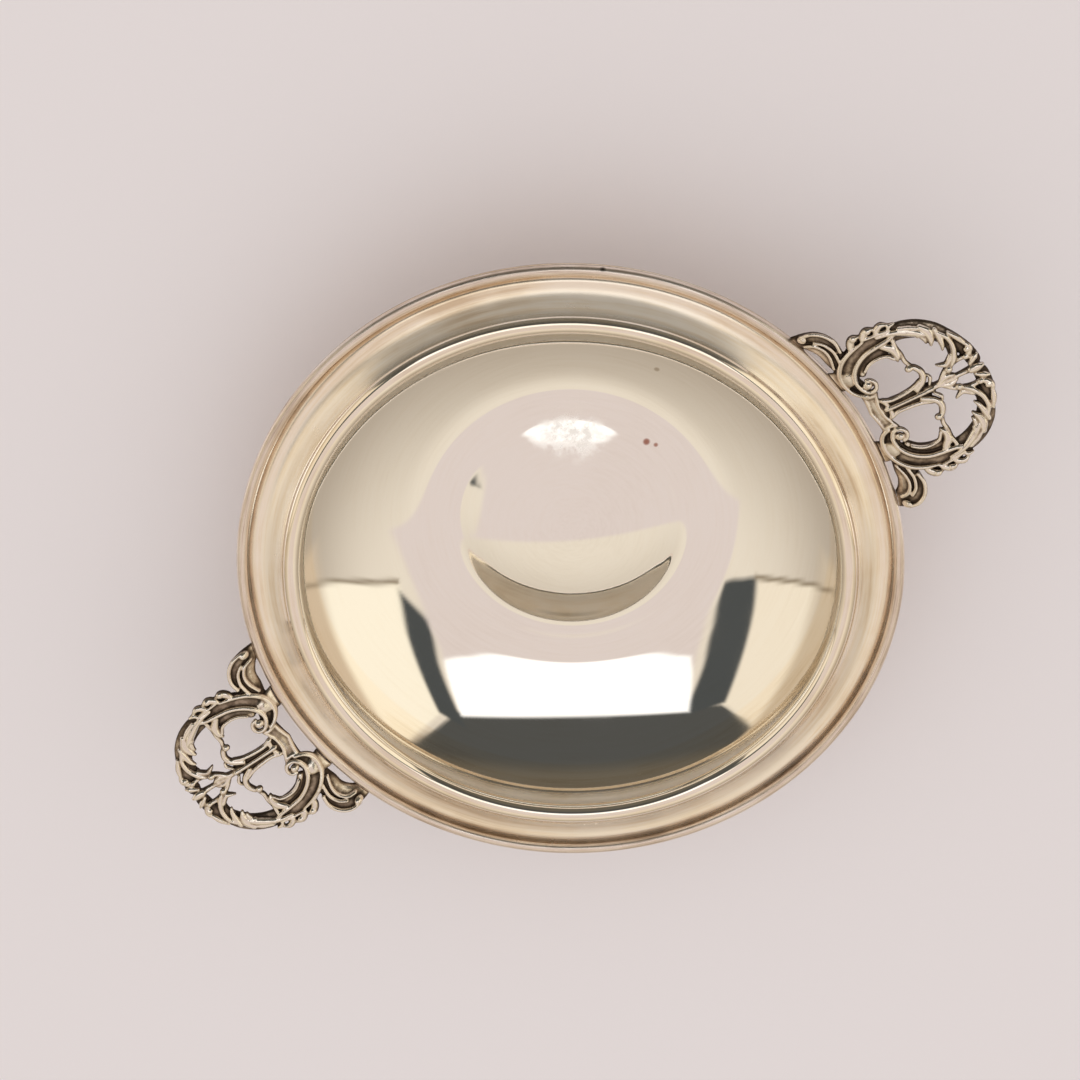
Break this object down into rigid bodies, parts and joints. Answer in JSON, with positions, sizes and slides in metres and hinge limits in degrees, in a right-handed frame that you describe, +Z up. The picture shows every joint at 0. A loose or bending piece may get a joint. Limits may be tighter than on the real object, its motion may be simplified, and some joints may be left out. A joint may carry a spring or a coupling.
{
  "type": "porringer",
  "caption": "Shallow bellied bowl of polished silver with a domed boss in its floor, a moulded rim with a soldered wire edge, and pierced cast scroll handles on opposite sides.",
  "frame": {"origin": "on the bowl's axis, in the plane that the bowl stands on", "axes": "+X runs through the middle of both handles, +Z is up along the bowl's axis, +Y is across"},
  "size_m": [0.2114, 0.152, 0.0373],
  "materials": {
    "polished_silver": "mirror polished silver with fine scratches",
    "brushed_silver": "finely brushed silver wire",
    "cast_silver": "cast silver, rubbed bright on the high places and dark with oxide in the recesses"
  },
  "bodies": {
    "root": {"bowl": "polished_silver", "rim_wire": "brushed_silver", "handle_right": "cast_silver", "handle_left": "cast_silver"}
  },
  "joints": []
}
